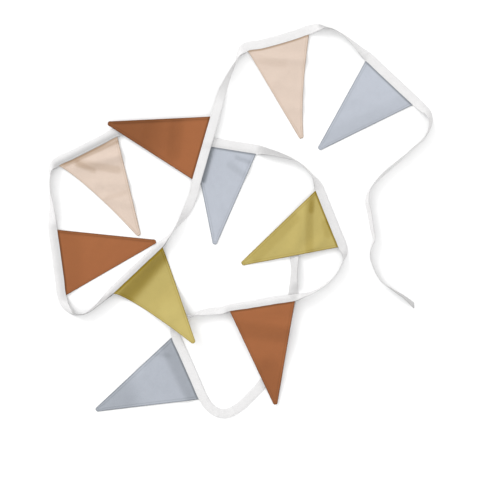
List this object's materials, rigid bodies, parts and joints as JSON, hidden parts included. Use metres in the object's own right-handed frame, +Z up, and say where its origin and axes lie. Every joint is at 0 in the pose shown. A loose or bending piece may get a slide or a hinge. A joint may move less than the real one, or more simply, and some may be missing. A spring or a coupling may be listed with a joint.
{
  "type": "fabric bunting",
  "caption": "Cotton pennant garland lying in loose loops: coloured pennants sewn in the fold of a long white tape with two free tie ends.",
  "frame": {"origin": "middle of the whole lay, on the surface it lies on", "axes": "+Z up from the surface, +X to the right and +Y away as seen from above"},
  "size_m": [0.6381, 0.6542, 0.024],
  "materials": {
    "white_cotton": "matt woven cotton",
    "blue_cotton": "matt woven cotton",
    "sand_cotton": "matt woven cotton",
    "rust_cotton": "matt woven cotton",
    "olive_cotton": "matt woven cotton"
  },
  "bodies": {
    "root": {"tape": "white_cotton", "flag_01_blue": "blue_cotton", "flag_02_sand": "sand_cotton", "flag_03_rust": "rust_cotton", "flag_04_olive": "olive_cotton", "flag_05_rust": "rust_cotton", "flag_06_sand": "sand_cotton", "flag_07_blue": "blue_cotton", "flag_08_olive": "olive_cotton", "flag_09_rust": "rust_cotton", "flag_10_blue": "blue_cotton"}
  },
  "joints": []
}
